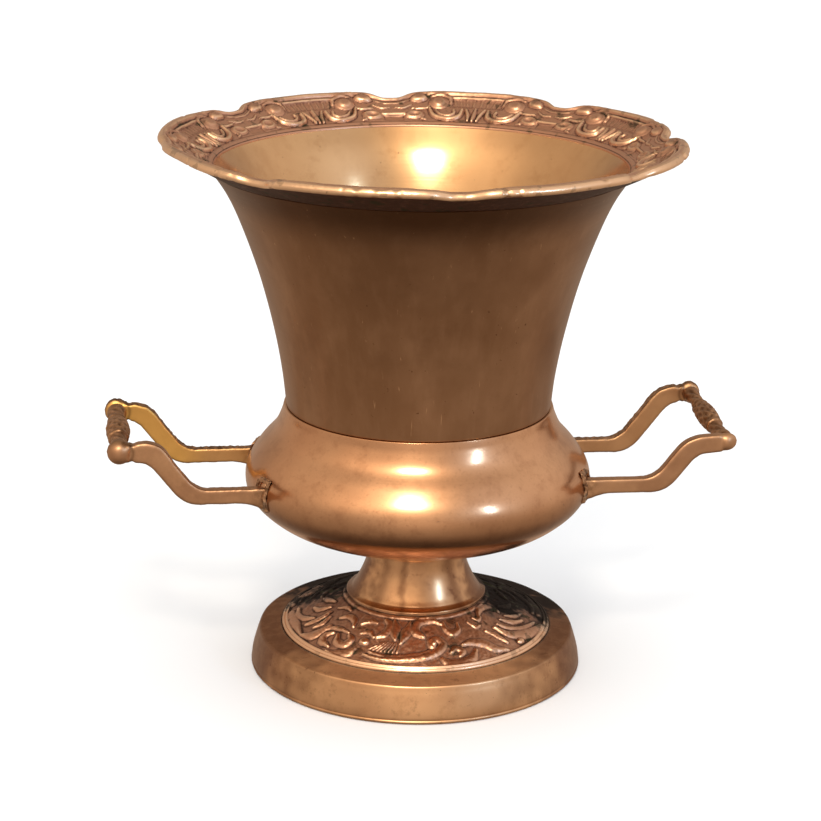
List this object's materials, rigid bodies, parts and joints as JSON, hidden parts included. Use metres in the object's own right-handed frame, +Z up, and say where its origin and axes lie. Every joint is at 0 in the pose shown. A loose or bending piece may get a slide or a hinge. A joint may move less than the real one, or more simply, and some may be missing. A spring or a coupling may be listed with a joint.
{
  "type": "footed planter pot",
  "caption": "Footed brass planter: trumpet bell on a squat bowl, waisted stem and round domed foot, with a scalloped relief rim and raised side handles.",
  "frame": {"origin": "on the ground, under the centre of the foot", "axes": "+Z up through the middle of the mouth, the two handles along +X and -X"},
  "size_m": [0.2758, 0.2244, 0.2421],
  "materials": {
    "foot_brass": "aged polished cast brass",
    "relief_brass": "cast relief, dark patina in the hollows and rubbed bright on top",
    "bowl_brass": "polished and lightly tarnished",
    "bell_brass": "satin, browned outside and golden inside",
    "handle_brass": "rough cast, rubbed bright",
    "solder": "dull grey-brown solder",
    "bolt_steel": "dull plated steel",
    "seal_rubber": "matt black"
  },
  "bodies": {
    "root": {"plinth": "foot_brass", "foot": "relief_brass", "stem": "foot_brass", "bowl": "bowl_brass", "bell": "bell_brass", "rim": "relief_brass", "left_front_arm": "handle_brass", "left_back_arm": "handle_brass", "left_grip": "handle_brass", "right_front_arm": "handle_brass", "right_back_arm": "handle_brass", "right_grip": "handle_brass", "left_front_solder": "solder", "left_back_solder": "solder", "right_front_solder": "solder", "right_back_solder": "solder", "tie_bolt": "bolt_steel", "foot_washer": "bolt_steel", "foot_nut": "bolt_steel", "seal_washer": "seal_rubber"}
  },
  "joints": []
}
